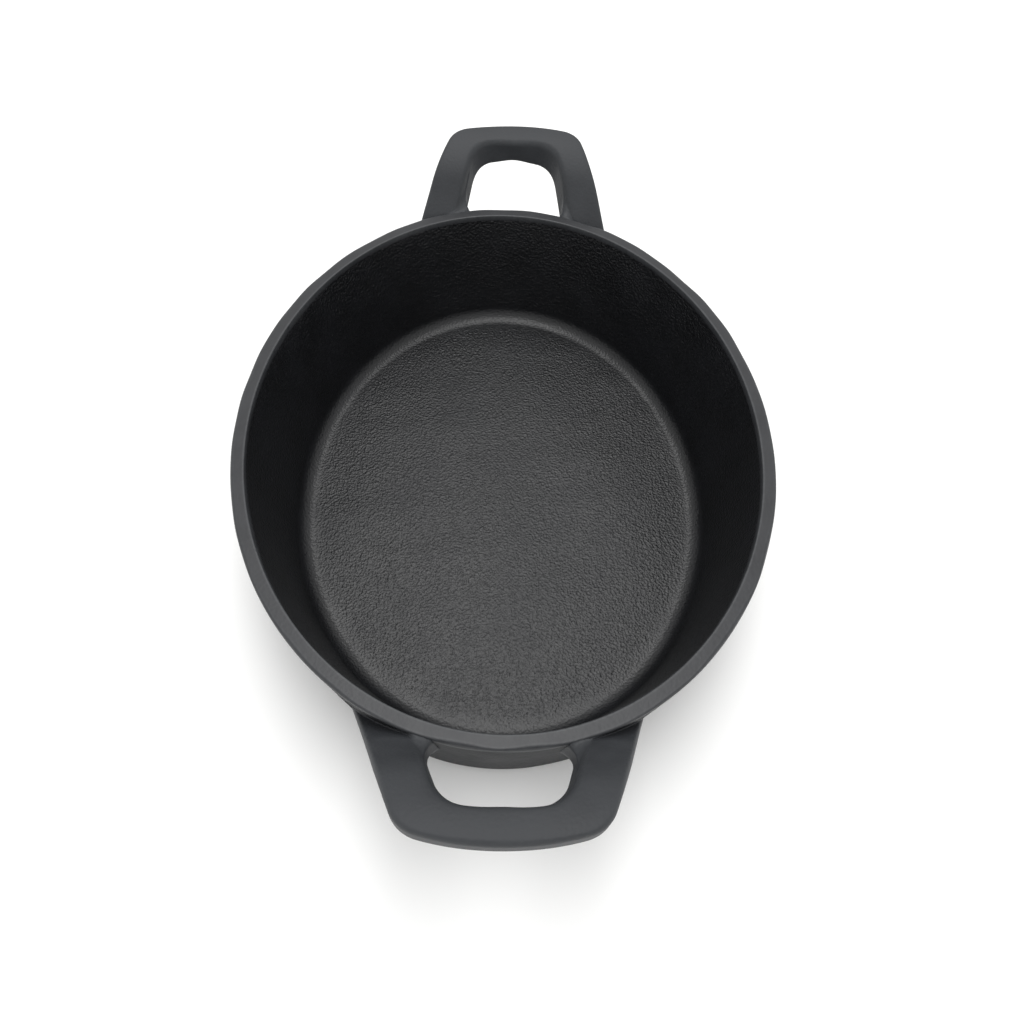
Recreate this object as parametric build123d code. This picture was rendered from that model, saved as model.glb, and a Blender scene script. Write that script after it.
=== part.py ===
# Small oval cast iron serving pot with two upswept loop handles.
#
# The pot stands on the floor plane with its long axis along Y and its origin at
# the centre of the flat base. The real pot is one casting, built here as its
# named regions: floor, heel, side wall, rim, and each handle's two legs and
# grip. Neighbouring regions meet face to face and share no volume.
import math
import os

from build123d import *

# Mouth, over the outside of the rim
rim_width = 130.0
rim_length = 159.0
rim_land = 3.3          # flat, ground top of the rim
rim_band = 5.0          # height of the rim region
rim_edge_radius = 0.7

# Vessel
pot_height = 37.5
floor_thickness = 4.4
outer_draft = 8.0       # degrees that the wall leans in towards the base
inner_draft = 12.5
heel_outer_radius = 9.0
heel_inner_radius = 4.5
heel_seam_margin = 1.0  # flat floor left to the heel region

# Handles: two legs ramp up from the wall, and one bend levels them out at the tip
handle_reach = 19.3     # from the end of the rim to the tip of the handle
root_drop = 0.2         # from the top of the rim down to where a leg's top meets it
root_depth = 15.0       # from the top of the rim down to the lowest point of a leg
ramp_angle = 51.0
bend_radius = 20.5
handle_thickness = 6.0
tip_width = 36.0
taper_angle = 24.0      # each leg's spread towards the pot, in plan
corner_radius = 7.5
bow_radius = 55.5       # outward bow of the grip's far side and the hole's end, in plan
grip_width = 6.9
hole_tip_width = 22.0
hole_taper_angle = 19.5
hole_corner_radius = 7.5
rear_handle_shift = 1.75    # how far each handle sits off the long axis
front_handle_shift = -0.75
handle_edge_radius = 1.2

overrun = 5.0           # how far a cutting shape runs past what it cuts


def slope(angle):
    return math.tan(math.radians(angle))


# Heights and places that follow from the sizes above
cavity_depth = pot_height - floor_thickness
heel_top = floor_thickness + heel_inner_radius
handle_tip = rim_length / 2 + handle_reach
root_x = hole_tip_width / 2 + (handle_reach - grip_width) * slope(hole_taper_angle)
root_y = rim_length / 2 * math.sqrt(1 - (2 * root_x / rim_width) ** 2)
bend_run = bend_radius * math.sin(math.radians(ramp_angle))
bend_rise = bend_radius * (1 - math.cos(math.radians(ramp_angle)))
ramp_rise = (handle_tip - root_y - bend_run) * slope(ramp_angle)
handle_top = pot_height - root_drop + ramp_rise + bend_rise
grip_half = (hole_tip_width - hole_corner_radius) / 2


def oval(inset, height):
    # the rim's oval drawn in by the inset all round, at one height
    return Pos(0, 0, height) * Ellipse(rim_width / 2 - inset, rim_length / 2 - inset)


def drafted_oval(top_inset, top, bottom, draft):
    # a solid whose side leans in towards its bottom
    lean = (top - bottom) * slope(draft)
    return loft([oval(top_inset + lean, bottom), oval(top_inset, top)], ruled=True)


def slab(bottom, top):
    # everything between two heights
    reach = 4 * handle_tip
    return Pos(0, 0, (bottom + top) / 2) * Box(reach, reach, top - bottom)


def outer_form():
    form = drafted_oval(0, pot_height, 0, outer_draft)
    faces = form.faces().sort_by(Axis.Z)
    form = fillet(faces[0].edges(), heel_outer_radius)
    faces = form.faces().sort_by(Axis.Z)
    return fillet(faces[-1].edges(), rim_edge_radius)


def cavity_form():
    mouth_inset = rim_land - overrun * slope(inner_draft)
    form = drafted_oval(mouth_inset, pot_height + overrun, floor_thickness, inner_draft)
    faces = form.faces().sort_by(Axis.Z)
    return fillet(faces[0].edges(), heel_inner_radius)


def vessel_regions():
    shell = outer_form() - cavity_form()
    fillet_foot = heel_inner_radius * slope(45 - inner_draft / 2)
    floor_inset = rim_land + cavity_depth * slope(inner_draft) + fillet_foot + heel_seam_margin
    lower = shell & slab(-overrun, heel_top)
    core = extrude(oval(floor_inset, -overrun), heel_top + overrun)
    return {
        "floor": lower & core,
        "heel": lower - core,
        "side_wall": shell & slab(heel_top, pot_height - rim_band),
        "rim": shell & slab(pot_height - rim_band, pot_height + overrun),
    }


def tapered_plan(half_tip, tip, taper, radius):
    # a plan outline that spreads towards the pot and bows outwards at its tip
    half_start = half_tip + tip * slope(taper)
    corner = tip - bow_radius + math.sqrt(bow_radius**2 - half_tip**2)
    left, right = (-half_tip, corner), (half_tip, corner)
    sides = Polyline(left, (-half_start, 0), (half_start, 0), right)
    far_side = ThreePointArc(right, (0, tip), left)
    plan = make_face([sides, far_side])
    return fillet(plan.vertices().sort_by(Axis.Y)[-2:], radius)


def side_view():
    # straight ramp out of the wall, one bend, level at the tip
    centre = (handle_tip, handle_top - bend_radius)
    over = CenterArc(centre, bend_radius, 90, ramp_angle)
    under = CenterArc(centre, bend_radius - handle_thickness, 90, ramp_angle)
    run = handle_reach + 2 * overrun
    ramp = Vector(run, run * slope(ramp_angle))
    past_tip = Vector(overrun, 0)
    root = Polyline(over @ 1, (over @ 1) - ramp, (under @ 1) - ramp, under @ 1)
    tip = Polyline(over @ 0, (over @ 0) + past_tip, (under @ 0) + past_tip, under @ 0)
    return make_face([over, root, under, tip])


def is_outline_edge(edge):
    # long edges round the loop, but not its upright corners, its flat seams or its cut root
    box = edge.bounding_box()
    upright = box.size.X < 1e-3 and box.size.Y < 1e-3
    seam = box.size.Y < 1e-3 and box.size.Z < 1e-3
    at_root = box.max.Y < rim_length / 2 - overrun
    return not (upright or seam or at_root)


def handle_loop():
    outline = tapered_plan(tip_width / 2, handle_tip, taper_angle, corner_radius)
    hole_tip = handle_tip - grip_width
    hole = tapered_plan(hole_tip_width / 2, hole_tip, hole_taper_angle, hole_corner_radius)
    ring = extrude(outline, handle_top + overrun) - extrude(hole, handle_top + overrun)
    strip = extrude(Plane.YZ * side_view(), amount=rim_width, both=True)
    loop = strip & ring
    return fillet([edge for edge in loop.edges() if is_outline_edge(edge)], handle_edge_radius)


def handle_regions(shift):
    # the rear handle's three regions, moved along X by its shift and trimmed to the pot's wall
    above_wall = extrude(oval(0, pot_height), handle_top)
    height_range = slab(pot_height - root_depth, handle_top + overrun)
    loop = Pos(shift, 0, 0) * (handle_loop() & height_range)
    loop = loop - outer_form() - above_wall
    reach = 4 * handle_tip
    left_side = Pos(shift - grip_half - reach / 2, 0, 0) * Box(reach, reach, reach)
    right_side = Pos(shift + grip_half + reach / 2, 0, 0) * Box(reach, reach, reach)
    return {
        "left_leg": loop & left_side,
        "right_leg": loop & right_side,
        "grip": loop - left_side - right_side,
    }


def main():
    os.makedirs("parts", exist_ok=True)
    regions = vessel_regions()
    for name, shape in handle_regions(rear_handle_shift).items():
        regions["rear_handle_" + name] = shape
    for name, shape in handle_regions(front_handle_shift).items():
        regions["front_handle_" + name] = mirror(shape, about=Plane.XZ)
    for node, shape in regions.items():
        export_step(shape, "parts/" + node + ".step")
    print("overall height", round(handle_top, 2), "overall length", 2 * handle_tip)


main()
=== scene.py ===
import math

import bpy
import numpy as np
from mathutils import Matrix, Vector


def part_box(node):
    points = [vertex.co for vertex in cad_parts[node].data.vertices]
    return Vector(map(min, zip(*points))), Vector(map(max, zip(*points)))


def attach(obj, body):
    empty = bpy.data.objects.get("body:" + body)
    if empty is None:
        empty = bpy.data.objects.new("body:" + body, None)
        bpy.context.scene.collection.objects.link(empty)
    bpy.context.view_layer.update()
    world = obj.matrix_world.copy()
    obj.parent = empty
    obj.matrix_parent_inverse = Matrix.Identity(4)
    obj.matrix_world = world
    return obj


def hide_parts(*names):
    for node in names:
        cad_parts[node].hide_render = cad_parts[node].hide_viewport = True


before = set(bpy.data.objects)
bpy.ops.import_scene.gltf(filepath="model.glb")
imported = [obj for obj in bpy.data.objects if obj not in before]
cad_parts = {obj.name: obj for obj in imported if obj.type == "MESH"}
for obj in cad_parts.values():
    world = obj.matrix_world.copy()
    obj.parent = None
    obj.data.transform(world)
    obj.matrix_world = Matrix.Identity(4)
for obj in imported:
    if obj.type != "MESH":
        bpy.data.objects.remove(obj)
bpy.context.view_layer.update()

# Small oval serving pot in seasoned cast iron, with two upswept loop handles.
# Lengths in the dictionaries are millimetres and angles are degrees.
mm = 0.001


def tangent(angle):
    return math.tan(math.radians(angle))


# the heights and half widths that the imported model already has
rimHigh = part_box("rim")[1] / mm
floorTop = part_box("floor")[1].z / mm
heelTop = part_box("heel")[1].z / mm
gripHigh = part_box("rear_handle_grip")[1] / mm

castSkin = {
    "waveHeight": 0.09,         # gentle unevenness of a sand mould
    "waveLengths": (13.0, 42.0),
    "waves": 18,
    "seed": 41,
}

def castWave(points, settings):
    # sum of sine waves with random directions: height = sum of sin(direction . point / length + phase)
    random = np.random.default_rng(settings["seed"])
    count = settings["waves"]
    direction = random.normal(size=(count, 3))
    direction /= np.linalg.norm(direction, axis=1, keepdims=True)
    length = random.uniform(*settings["waveLengths"], size=count)
    phase = random.uniform(0, 2 * np.pi, count)
    turns = points @ (direction / length[:, None]).T * 2 * np.pi + phase
    return np.sin(turns).sum(-1) * settings["waveHeight"] / math.sqrt(count)


def ringNoise(angle, seed, slowest, fastest):
    # smooth noise round a closed ring: sines of whole-numbered frequency, between about -1 and 1
    random = np.random.default_rng(seed)
    frequency = np.arange(slowest, fastest)
    phase = random.uniform(0, 2 * np.pi, len(frequency))
    weight = random.uniform(0.4, 1.0, len(frequency)) / np.sqrt(frequency)
    waves = weight * np.sin(angle[:, None] * frequency + phase)
    return waves.sum(-1) / (2 * np.sqrt((weight**2).sum() / 2))


def makePiece(name, points, faces, materials, faceMaterial=None, attributes=None):
    # one smooth closed mesh at the origin; faces are turned outwards if its signed volume is negative
    points = points * mm
    faces = np.asarray(faces)
    first, second, third, fourth = (points[faces[:, k]] for k in range(4))
    volume = (np.cross(first, second) * third).sum() + (np.cross(first, third) * fourth).sum()
    if volume < 0:
        faces = faces[:, ::-1]
    corners = [list(dict.fromkeys(face)) for face in faces.tolist()]   # a quad at a pole is a triangle
    mesh = bpy.data.meshes.new(name)
    mesh.from_pydata(points.tolist(), [], corners)
    for material in materials:
        mesh.materials.append(material)
    if faceMaterial is not None:
        mesh.polygons.foreach_set("material_index", np.asarray(faceMaterial, dtype=np.int32))
    mesh.polygons.foreach_set("use_smooth", np.ones(len(corners), dtype=bool))
    for label, values in (attributes or {}).items():
        layer = mesh.attributes.new(label, "FLOAT", "POINT")
        layer.data.foreach_set("value", np.asarray(values, dtype=np.float32))
    mesh.update()
    piece = bpy.data.objects.new(name, mesh)
    bpy.context.scene.collection.objects.link(piece)
    return piece


def closedGridFaces(rows, around):
    # quads between neighbouring rows, and a fan from each end row to its pole
    row, column = np.meshgrid(np.arange(rows - 1), np.arange(around), indexing="ij")
    here, after = row * around, (column + 1) % around
    quads = [here + column, here + after, here + around + after, here + around + column]
    one, two = np.arange(around), (np.arange(around) + 1) % around
    startPole, endPole = np.full(around, rows * around), np.full(around, rows * around + 1)
    last = (rows - 1) * around
    return np.concatenate([
        np.stack(quads, -1).reshape(-1, 4),
        np.stack([startPole, two, one, one], -1),
        np.stack([endPole, last + one, last + two, last + two], -1),
    ])


def linearColour(hexCode):
    # sRGB hex to the linear colour that the shader wants
    parts = [int(hexCode[k:k + 2], 16) / 255 for k in (1, 3, 5)]
    return [p / 12.92 if p <= 0.04045 else ((p + 0.055) / 1.055) ** 2.4 for p in parts] + [1.0]


def addNode(tree, kind, links=None, values=None, **settings):
    node = tree.nodes.new(kind)
    for name, value in settings.items():
        setattr(node, name, value)
    for socket, value in (values or {}).items():
        node.inputs[socket].default_value = value
    for socket, source in (links or {}).items():
        tree.links.new(source, node.inputs[socket])
    return node


def perMetre(lengthInMm):
    # a texture's scale for features of this size
    return 1 / (lengthInMm * mm)


def castIron(name, look):
    # black seasoning over cast iron: a dielectric skin of baked oil that follows the sand's grain
    material = bpy.data.materials.new(name)
    material.use_nodes = True
    tree = material.node_tree
    tree.nodes.clear()
    place = addNode(tree, "ShaderNodeTexCoord").outputs["Object"]
    pebble = addNode(
        tree, "ShaderNodeTexNoise", {"Vector": place},
        {"Scale": perMetre(look["pebble"]), "Detail": 2.5, "Roughness": 0.55, "Distortion": 0.35},
    ).outputs["Fac"]
    pits = addNode(
        tree, "ShaderNodeTexVoronoi", {"Vector": place},
        {"Scale": perMetre(look["pebble"] * 0.9), "Smoothness": 0.8}, feature="SMOOTH_F1",
    ).outputs["Distance"]
    grain = addNode(
        tree, "ShaderNodeTexNoise", {"Vector": place},
        {"Scale": perMetre(look["grain"]), "Detail": 2.0, "Roughness": 0.6},
    ).outputs["Fac"]
    patches = addNode(
        tree, "ShaderNodeTexNoise", {"Vector": place},
        {"Scale": perMetre(look["patch"]), "Detail": 3.0, "Roughness": 0.55},
    ).outputs["Fac"]
    height = addNode(tree, "ShaderNodeMath", {0: pits, 1: pebble}, operation="SUBTRACT").outputs[0]
    calm = addNode(tree, "ShaderNodeAttribute", attribute_name="calm").outputs["Fac"]
    strength = addNode(tree, "ShaderNodeMath", {1: calm}, {0: 1.0}, operation="SUBTRACT").outputs[0]
    relief = addNode(
        tree, "ShaderNodeBump", {"Height": height, "Strength": strength},
        {"Distance": look["pebbleHeight"] * mm},
    ).outputs["Normal"]
    fineRelief = addNode(
        tree, "ShaderNodeBump", {"Height": grain, "Normal": relief},
        {"Strength": 1.0, "Distance": look["grainHeight"] * mm},
    ).outputs["Normal"]
    tint = addNode(tree, "ShaderNodeValToRGB", {"Fac": patches})
    for stop, position, shade in zip(tint.color_ramp.elements, (0.3, 0.7), ("dark", "light")):
        stop.position = position
        stop.color = linearColour(look[shade])
    worn = addNode(tree, "ShaderNodeAttribute", attribute_name="wear").outputs["Fac"]
    wornPatchy = addNode(tree, "ShaderNodeMath", {0: worn, 1: pebble}, operation="MULTIPLY").outputs[0]
    colour = addNode(
        tree, "ShaderNodeMix", {0: wornPatchy, 6: tint.outputs["Color"]},
        {7: linearColour(look["worn"])}, data_type="RGBA",
    ).outputs[2]
    rough = addNode(
        tree, "ShaderNodeMapRange", {"Value": patches},
        {"From Min": 0.25, "From Max": 0.75, "To Min": look["smooth"], "To Max": look["rough"]},
    ).outputs["Result"]
    shader = addNode(
        tree, "ShaderNodeBsdfPrincipled",
        {"Base Color": colour, "Roughness": rough, "Normal": fineRelief},
        {"IOR": 1.5, "Metallic": 0.0, "Specular IOR Level": look["sheen"]},
    )
    addNode(tree, "ShaderNodeOutputMaterial", {"Surface": shader.outputs["BSDF"]})
    return material


# sand-cast outside and handles: fine, soft orange peel under a satin black skin
outsideLook = {
    "pebble": 0.8, "pebbleHeight": 0.045, "grain": 0.32, "grainHeight": 0.016, "patch": 9.0,
    "dark": "#292b2e", "light": "#313336", "worn": "#414345", "smooth": 0.52, "rough": 0.62, "sheen": 0.36,
}
# outer wall: the handles' cast iron with a darker colour and less sheen, painted shade so that it gives back
# less of the table's light
shadedOuterWallLook = {
    "pebble": 0.9, "pebbleHeight": 0.09, "grain": 0.34, "grainHeight": 0.020, "patch": 9.0,
    "dark": "#16171a", "light": "#1c1e20", "worn": "#2c2d2f", "smooth": 0.55, "rough": 0.66, "sheen": 0.20,
}
# cooking surface: close, high pebble that breaks the light into small irregular glints; its near-black
# colours are partly the seasoned iron's own black and partly painted shade for the inside of the pot
cookingLook = {
    "pebble": 0.65, "pebbleHeight": 0.16, "grain": 0.26, "grainHeight": 0.040, "patch": 11.0,
    "dark": "#0b0c0e", "light": "#101114", "worn": "#26282a", "smooth": 0.31, "rough": 0.38, "sheen": 0.46,
}
# ground rim: nearly flat and a shade lighter, where the wheel took the sand skin off
groundLook = {
    "pebble": 0.9, "pebbleHeight": 0.025, "grain": 0.28, "grainHeight": 0.014, "patch": 6.0,
    "dark": "#1e1f22", "light": "#26272a", "worn": "#3f4143", "smooth": 0.38, "rough": 0.47, "sheen": 0.44,
}
seasonedCastIron = castIron("seasonedCastIron", outsideLook)
# the outer wall's darker copy of the cast iron, as painted shade
shadedOuterWall = castIron("shadedOuterWall", shadedOuterWallLook)
seasonedCookingSurface = castIron("seasonedCookingSurface", cookingLook)
groundRimIron = castIron("groundRimIron", groundLook)
print("materials ready")


vessel = {
    "outerDraft": 8.0,          # the wall leans in towards the base
    "innerDraft": 12.5,
    "land": 3.3,                # flat ground top of the rim
    "edgeRadius": 0.7,          # outer edge of the rim
    "edgeRadiusDrift": 0.28,    # how unevenly the grinding left that edge
    "edgeNoise": (7, 5, 40),    # that drift's seed, and its slowest and fastest waves round the rim
    "edgeRoom": 1.4,            # the wall's rows stop this many edge radii below the rim's top
    "innerEdgeRadius": 0.3,
    "heelRadius": 9.0,          # outside corner under the wall
    "around": 600,              # points round the oval
    "toPole": 20,               # rows from the middle of the base or the floor out to its edge
    "wear": {"edge": 0.7, "innerEdge": 1.0, "land": 0.15},
    "calm": {"fillet": 0.5},    # the pattern's fillet was smoothed by hand, so its pebble is fainter
}
wallLean = tangent(vessel["outerDraft"])
wallSecant = 1 / math.cos(math.radians(vessel["outerDraft"]))
innerLean = tangent(vessel["innerDraft"])
innerSecant = 1 / math.cos(math.radians(vessel["innerDraft"]))
edgeInset = vessel["edgeRadius"] * (wallLean + wallSecant - 1)
halfWidth = rimHigh.x + edgeInset
halfLength = rimHigh.y + edgeInset
rimTop = rimHigh.z


def arcRows(start, end, count):
    return np.radians(np.linspace(start, end, count))[:, None]


def vesselSection(angle):
    # the wall's section as rows of (inset from the rim's oval, height), from the base round to the floor
    draft, lean, land = vessel["outerDraft"], vessel["innerDraft"], vessel["land"]
    heel, edge = vessel["heelRadius"], vessel["edgeRadius"]
    inside, fillet = vessel["innerEdgeRadius"], heelTop - floorTop
    flat = np.ones((1, len(angle)))
    rows = []

    turn = arcRows(-90, -draft, 14)
    heelInset = (rimTop - heel) * wallLean + heel * wallSecant
    rows.append(("outside", (heelInset - heel * np.cos(turn)) * flat, (heel + heel * np.sin(turn)) * flat))

    radius = edge + vessel["edgeRadiusDrift"] * ringNoise(angle, *vessel["edgeNoise"])[None, :]
    low, high = heel * (1 - math.sin(math.radians(draft))), rimTop - vessel["edgeRoom"] * edge
    height = np.linspace(low, high, 26)[1:-1, None] * flat
    rows.append(("outside", (rimTop - height) * wallLean, height))

    turn = arcRows(-draft, 90, 10)
    edgeCentre = radius * (wallLean + wallSecant)
    rows.append(("edge", edgeCentre - radius * np.cos(turn), rimTop - radius + radius * np.sin(turn)))

    mouth = land + inside * innerLean - inside * innerSecant
    share = np.linspace(0, 1, 8)[1:-1, None]
    rows.append(("land", edgeCentre + (mouth - edgeCentre) * share, rimTop * flat * np.ones_like(share)))

    turn = arcRows(90, lean, 7)
    height = rimTop - inside + inside * np.sin(turn)
    rows.append(("innerEdge", (mouth + inside * np.cos(turn)) * flat, height * flat))

    filletTop = floorTop + fillet * (1 - math.sin(math.radians(lean)))
    height = np.linspace(rimTop - inside, filletTop, 28)[1:-1, None] * flat
    rows.append(("wall", land + (rimTop - height) * innerLean, height))

    turn = arcRows(lean, 90, 20)
    centre = land + (rimTop - floorTop - fillet) * innerLean + fillet * innerSecant
    height = floorTop + fillet - fillet * np.sin(turn)
    rows.append(("fillet", (centre - fillet * np.cos(turn)) * flat, height * flat))
    return rows


def buildVessel():
    # point = ((halfWidth - inset) cos a, (halfLength - inset) sin a, height); base and floor shrink to a pole
    angle = np.linspace(0, 2 * np.pi, vessel["around"], endpoint=False)
    sections = vesselSection(angle)
    names = np.concatenate([[name] * len(inset) for name, inset, height in sections])
    inset = np.concatenate([inset for name, inset, height in sections])
    height = np.concatenate([height for name, inset, height in sections])
    wide, long = halfWidth - inset, halfLength - inset
    across, along = wide * np.cos(angle), long * np.sin(angle)

    shrink = np.linspace(0, 1, vessel["toPole"])[1:-1, None]
    across = np.concatenate([across[:1] * shrink, across, across[-1:] * shrink[::-1]])
    along = np.concatenate([along[:1] * shrink, along, along[-1:] * shrink[::-1]])
    height = np.concatenate([height[:1] + 0 * shrink, height, height[-1:] + 0 * shrink])
    names = np.concatenate([["base"] * len(shrink), names, ["floor"] * len(shrink)])
    grid = np.stack([across, along, height], -1)

    # the cast skin's waves move each point along its own normal, but leave the ground land flat
    downSection = np.gradient(grid, axis=0)
    aroundOval = (np.roll(grid, -1, 1) - np.roll(grid, 1, 1)) / 2
    normal = np.cross(aroundOval, downSection)
    normal /= np.linalg.norm(normal, axis=-1, keepdims=True) + 1e-12
    cast = np.isin(names, ["outside", "wall", "fillet", "floor"])[:, None]
    grid = grid + normal * (castWave(grid, castSkin) * cast)[..., None]
    grid[..., 2] = np.maximum(grid[..., 2], 0)

    rowCount, around = grid.shape[:2]
    points = np.concatenate([grid.reshape(-1, 3), [[0, 0, height[0, 0]]], [[0, 0, height[-1, 0]]]])
    ground, cooking = ("edge", "land", "innerEdge"), ("wall", "fillet", "floor")
    rowFinish = np.isin(names, ground) + 2 * np.isin(names, cooking)
    stripFinish = np.repeat(np.minimum(rowFinish[:-1], rowFinish[1:]), around)
    faceFinish = np.concatenate([stripFinish, np.full(around, 0), np.full(around, 2)])
    rowWear = np.array([vessel["wear"].get(name, 0.0) for name in names])
    rowCalm = np.array([vessel["calm"].get(name, 0.0) for name in names])
    attributes = {
        "wear": np.concatenate([np.repeat(rowWear, around), [0.0, 0.0]]),
        "calm": np.concatenate([np.repeat(rowCalm, around), [0.0, 0.0]]),
    }
    return points, closedGridFaces(rowCount, around), faceFinish, attributes


points, faces, faceFinish, attributes = buildVessel()
pot = makePiece(
    "pot_body", points, faces,
    [shadedOuterWall, groundRimIron, seasonedCookingSurface], faceFinish, attributes,
)
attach(pot, "root")
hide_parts("floor", "heel", "side_wall", "rim")
print("pot body ready")


handle = {
    "tipHalfWidth": 18.0,
    "taper": 24.0,          # each leg's spread towards the pot, in plan
    "cornerRadius": 7.5,
    "bowRadius": 55.5,      # the grip's far side and the hole's end bow outwards a little
    "gripWidth": 6.9,
    "holeHalfWidth": 11.0,
    "holeTaper": 19.5,
    "holeCornerRadius": 7.5,
    "holeDraft": 1.0,       # each leg's hole side leans in by this much either way of its middle
    "thickness": 6.0,
    "bendRadius": 20.5,
    "ramp": 51.0,
    "edgeRadius": 1.25,
    "rootDepth": 15.0,      # from the rim's top down to the lowest point of a leg
    "rootRound": 1.6,       # how softly the underside turns level there
    "rootClearance": 0.15,  # a leg's top stays this far under the rim's at the wall
    "rootSlope": 1.3,       # and may climb this steeply away from it
    "crown": 0.12,          # the top is a little fuller in its middle
    "filletTop": 0.5,       # fillets where the leg grows out of the wall
    "filletHole": 3.4,
    "filletOutside": 1.8,
    "filletUnder": 2.4,
    "buried": 1.2,          # how far the root runs on inside the wall
    "shift": {"rear": 1.75, "front": -0.75},    # how far each handle sits off the long axis
    "wear": 0.45,           # how far the seasoning is rubbed off the rounded edges
    "longestLeg": 60.0,     # more than any leg needs to reach the wall
    "legRows": 44,
    "loopRows": (18, 22),   # round a corner, and on to the middle of the grip
    "settleRows": 12,       # rows over which the cast skin's waves fade in from the wall
}


def outlineHalf(halfTip, tip, radius, taper):
    # half a loop in plan: the leg's top, the corner arc, and the bowed far side up to the middle
    bowRadius, (cornerRows, bowRows) = handle["bowRadius"], handle["loopRows"]
    bowCentre = np.array([0, tip - bowRadius])
    corner = np.array([halfTip, bowCentre[1] + math.sqrt(bowRadius**2 - halfTip**2)])
    leg = np.array([tip * tangent(taper), -corner[1]])
    leg /= np.linalg.norm(leg)
    inward = np.array([leg[1], -leg[0]])
    start = corner + radius * inward - bowCentre
    slide = -start @ leg - math.sqrt((start @ leg) ** 2 - start @ start + (bowRadius - radius) ** 2)
    centre = corner + radius * inward + slide * leg
    outwards = centre - bowCentre
    first, last = math.atan2(-inward[1], -inward[0]), math.atan2(outwards[1], outwards[0])
    turn = np.linspace(first, last, cornerRows)
    arc = centre + radius * np.stack([np.cos(turn), np.sin(turn)], -1)
    turn = np.linspace(last, math.pi / 2, bowRows)[1:]
    bow = bowCentre + bowRadius * np.stack([np.cos(turn), np.sin(turn)], -1)
    return np.concatenate([arc, bow]), leg


def sideHeight(y, radius):
    # side view: level at the tip, one bend about the tip's centre, then a straight ramp down
    ramp = math.radians(handle["ramp"])
    bendStart = gripHigh.y - radius * math.sin(ramp)
    centreHeight = gripHigh.z - handle["bendRadius"]
    run = np.clip(gripHigh.y - y, 0, radius * math.sin(ramp))
    bend = centreHeight + np.sqrt(radius**2 - run**2)
    return bend - np.clip(bendStart - y, 0, None) * math.tan(ramp)


def roundedSection():
    # round the bar's section: base place and outward direction, with a quarter turn at each edge
    turns, flats = 7, 9
    base, facing = [], []
    corners = [((1, 1), 0), ((0, 1), 90), ((0, 0), 180), ((1, 0), 270)]
    for step, (place, start) in enumerate(corners):
        turn = np.radians(np.linspace(start, start + 90, turns))
        base.append(np.tile(place, (turns, 1)))
        facing.append(np.stack([np.cos(turn), np.sin(turn)], -1))
        share = np.linspace(0, 1, flats)[1:-1, None]
        following = np.array(corners[(step + 1) % 4][0])
        base.append(np.array(place) + (following - np.array(place)) * share)
        facing.append(np.tile(facing[-1][-1], (flats - 2, 1)))
    return np.concatenate(base).astype(float), np.concatenate(facing)


def barPoint(inner, outer, base, facing, flare):
    # a point of the bar: across between the two outlines and up between underside and top
    radius = handle["edgeRadius"]
    width = np.linalg.norm(outer - inner, axis=-1)
    reach = radius + (width - 2 * radius) * base[:, 0] + (radius + flare) * facing[:, 0]
    rise = radius + (handle["thickness"] - 2 * radius) * base[:, 1] + (radius + flare) * facing[:, 1]
    # the hole's sides lean, but the hole's end under the grip does not
    sideways = ((outer - inner)[..., 0] / width) ** 2
    draft = handle["holeDraft"] * (2 * rise / handle["thickness"] - 1) * (1 - reach / width) * sideways
    reach = reach + draft
    plan = inner + (outer - inner) * (reach / width)[..., None]
    middle = 1 - (2 * np.clip(reach / width, 0, 1) - 1) ** 2
    rise = rise + handle["crown"] * middle * np.clip(facing[:, 1], 0, 1)
    under = sideHeight(plan[..., 1], handle["bendRadius"] - handle["thickness"])
    top = sideHeight(plan[..., 1], handle["bendRadius"])
    height = under + (top - under) * rise / handle["thickness"]
    above = (height - (rimTop - handle["rootDepth"])) / handle["rootRound"]
    height = rimTop - handle["rootDepth"] + handle["rootRound"] * np.logaddexp(0, above)
    return np.concatenate([plan, height[..., None]], -1)


def outsideWall(point, shift):
    # above 0 outside the pot's drafted oval wall, below 0 inside its metal
    lean = (rimTop - np.minimum(point[..., 2], rimTop)) * wallLean
    across = (point[..., 0] + shift) / (halfWidth - lean)
    along = point[..., 1] / (halfLength - lean)
    return across**2 + along**2 - 1


def rootFillet(facing):
    # the fillet's radius on each side of the bar, blended round the corners between them
    squares = np.stack([facing[:, 1], facing[:, 0], -facing[:, 0], -facing[:, 1]]).clip(0, 1) ** 2
    sides = ("filletTop", "filletOutside", "filletHole", "filletUnder")
    return sum(handle[side] * square for side, square in zip(sides, squares))


def buildLeg(outline, legs, section, side, shift):
    # one leg's rows from inside the wall up to the loop; side is +1 or -1 along X
    base, facing = section
    outer, inner = outline
    outerLeg, innerLeg = legs

    def legPoint(distance, flare):
        innerPoint = inner + innerLeg * distance[..., None]
        outerPoint = outer + outerLeg * distance[..., None]
        return barPoint(innerPoint, outerPoint, base, facing, flare)

    # halve the range again and again to find where each line of the flared bar meets the wall
    fillet = rootFillet(facing)
    near, far = np.zeros(len(base)), np.full(len(base), handle["longestLeg"])
    for halving in range(40):
        middle = (near + far) / 2
        isOut = outsideWall(legPoint(middle, fillet) * [side, 1, 1], shift) > 0
        near, far = np.where(isOut, middle, near), np.where(isOut, far, middle)
    share = np.linspace(0, 1, handle["legRows"])[1:, None] ** 1.5    # closer rows near the wall
    toWall = np.concatenate([[np.full(len(base), -handle["buried"])], [near * 0], near * share])
    nearness = np.clip(1 - toWall / fillet, 0, 1)
    leg = legPoint(near - toWall, fillet * (1 - np.sqrt(1 - nearness**2)))
    highest = rimTop - handle["rootClearance"] + handle["rootSlope"] * np.clip(toWall, 0, None)
    leg[..., 2] = np.minimum(leg[..., 2], highest)
    return leg[:-1] * [side, 1, 1]


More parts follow.
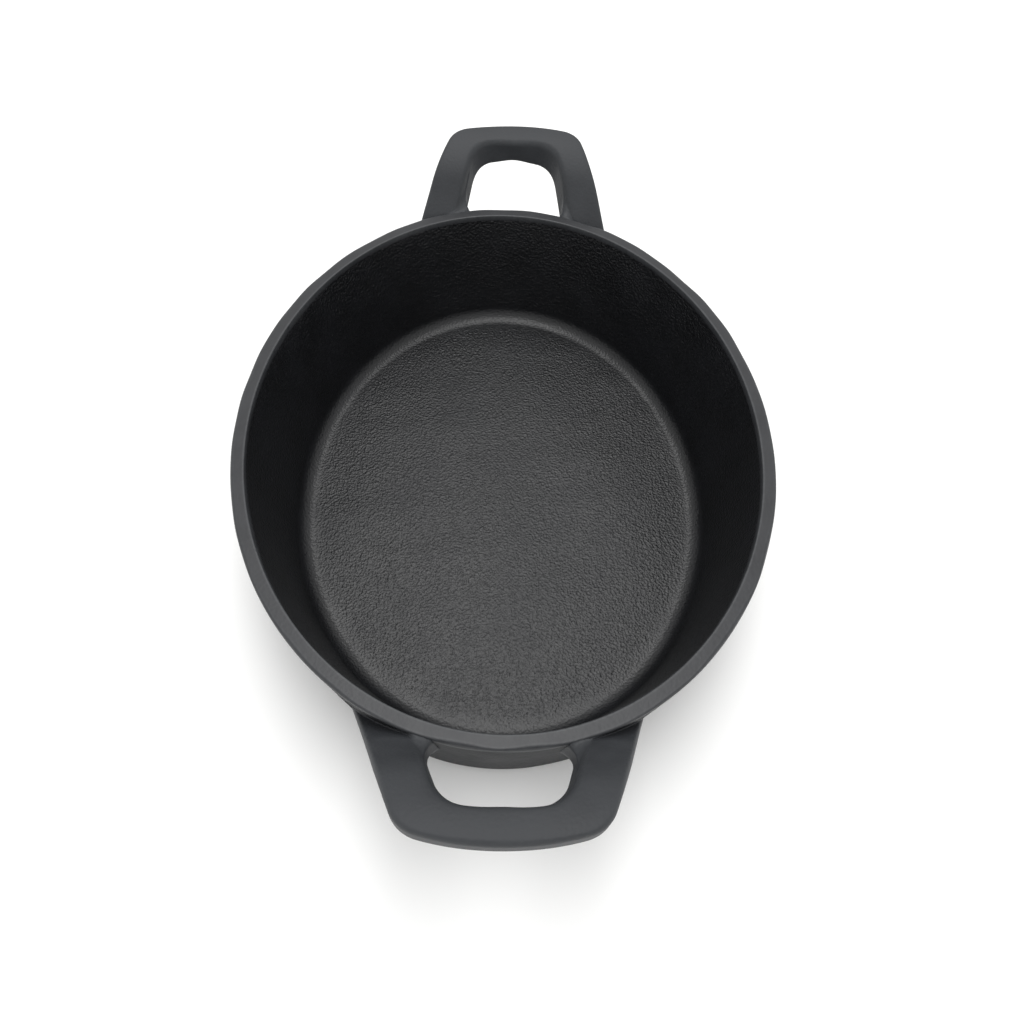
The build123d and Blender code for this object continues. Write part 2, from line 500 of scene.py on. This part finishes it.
def buildHandle(wave, shift):
    # a rounded section carried round the loop; each leg line is cut where it enters the wall
    section = roundedSection()
    base, facing = section
    tip = gripHigh.y
    holeTip = tip - handle["gripWidth"]
    outer, outerLeg = outlineHalf(handle["tipHalfWidth"], tip, handle["cornerRadius"], handle["taper"])
    inner, innerLeg = outlineHalf(
        handle["holeHalfWidth"], holeTip, handle["holeCornerRadius"], handle["holeTaper"])
    loop = barPoint(inner[:, None], outer[:, None], base, facing, 0.0)
    ends = (outer[0], inner[0]), (outerLeg, innerLeg), section
    right, left = buildLeg(*ends, 1, shift), buildLeg(*ends, -1, shift)
    grid = np.concatenate([right, loop, loop[-2::-1] * [-1, 1, 1], left[::-1]])

    away = grid - grid.mean(1, keepdims=True)
    away /= np.linalg.norm(away, axis=-1, keepdims=True)
    rowsFromEnd = np.minimum(np.arange(len(grid)), np.arange(len(grid))[::-1])
    settle = np.clip(rowsFromEnd / handle["settleRows"], 0, 1)[:, None]
    grid = grid + away * (castWave(grid, wave) * settle)[..., None] + [shift, 0, 0]

    rows, around = grid.shape[:2]
    points = np.concatenate([grid.reshape(-1, 3), grid[:1].mean(1), grid[-1:].mean(1)])
    edge = np.abs(facing[:, 0] * facing[:, 1]) * 2
    wear = np.concatenate([np.tile(edge * handle["wear"], rows), [0.0, 0.0]])
    return points, closedGridFaces(rows, around), wear


for end, direction in (("rear", 1), ("front", -1)):
    wave = dict(castSkin, seed=castSkin["seed"] + direction)
    points, faces, wear = buildHandle(wave, handle["shift"][end])
    points = points * [1, direction, 1]
    loop = makePiece(end + "_handle", points, faces, [seasonedCastIron], None, {"wear": wear})
    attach(loop, "root")
    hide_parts(*(f"{end}_handle_{part}" for part in ("left_leg", "right_leg", "grip")))
    print(end, "handle ready")


studio = {
    "floorSize": 6000.0,
    "floorColour": "#f6f6f5",
    "world": 0.92,
    "softboxWatts": 7.8,
    "softboxWidth": 500.0,
    "softboxLength": 1100.0,
    "softboxHeight": 1100.0,
    "softboxBack": 200.0,
}


def buildStudio():
    half = studio["floorSize"] * mm / 2
    corners = [(-half, -half, 0), (half, -half, 0), (half, half, 0), (-half, half, 0)]
    mesh = bpy.data.meshes.new("studio_floor")
    mesh.from_pydata(corners, [], [(0, 1, 2, 3)])
    floor = bpy.data.objects.new("studio_floor", mesh)
    bpy.context.scene.collection.objects.link(floor)
    paint = bpy.data.materials.new("paleMattPaint")
    paint.use_nodes = True
    shader = paint.node_tree.nodes["Principled BSDF"]
    shader.inputs["Base Color"].default_value = linearColour(studio["floorColour"])
    shader.inputs["Roughness"].default_value = 0.9
    mesh.materials.append(paint)

    world = bpy.data.worlds.new("studioRoom")
    bpy.context.scene.world = world
    world.use_nodes = True
    world.node_tree.nodes["Background"].inputs["Color"].default_value = (1, 1, 1, 1)
    world.node_tree.nodes["Background"].inputs["Strength"].default_value = studio["world"]

    light = bpy.data.lights.new("overheadSoftbox", "AREA")
    light.shape = "RECTANGLE"
    light.size = studio["softboxWidth"] * mm
    light.size_y = studio["softboxLength"] * mm
    light.energy = studio["softboxWatts"]
    box = bpy.data.objects.new("overheadSoftbox", light)
    box.location = (0, studio["softboxBack"] * mm, studio["softboxHeight"] * mm)
    bpy.context.scene.collection.objects.link(box)


view = {
    "elevation": 58.1,      # above the rim's plane
    "turn": 3.88,
    "roll": 4.55,
    "rimRight": -1.3,       # the rim's centre as the camera sees it
    "rimUp": 21.97,
    "rimAway": 194.1,
    "lens": 28.125,
    "sensor": 36.0,
}


def buildCamera():
    # turn about the upright axis, then tip down by the elevation, then roll
    turned = Matrix.Rotation(math.radians(view["turn"]), 3, "Z")
    tipped = Matrix.Rotation(math.radians(view["elevation"] - 90), 3, "X")
    rolled = Matrix.Rotation(-math.radians(view["roll"]), 3, "Z")
    toCamera = rolled @ tipped @ turned
    facing = toCamera.transposed()
    rim = facing @ Vector((view["rimRight"], view["rimUp"], -view["rimAway"]))
    camera = bpy.data.cameras.new("studioCamera")
    camera.sensor_width = view["sensor"]
    camera.lens = view["lens"]
    camera.clip_start = 0.01
    holder = bpy.data.objects.new("studioCamera", camera)
    place = facing.to_4x4()
    place.translation = -rim * mm
    place.translation.z += rimTop * mm
    holder.matrix_world = place
    bpy.context.scene.collection.objects.link(holder)
    bpy.context.scene.camera = holder


buildStudio()
buildCamera()
bpy.context.scene.view_settings.view_transform = "Standard"
print("studio ready")
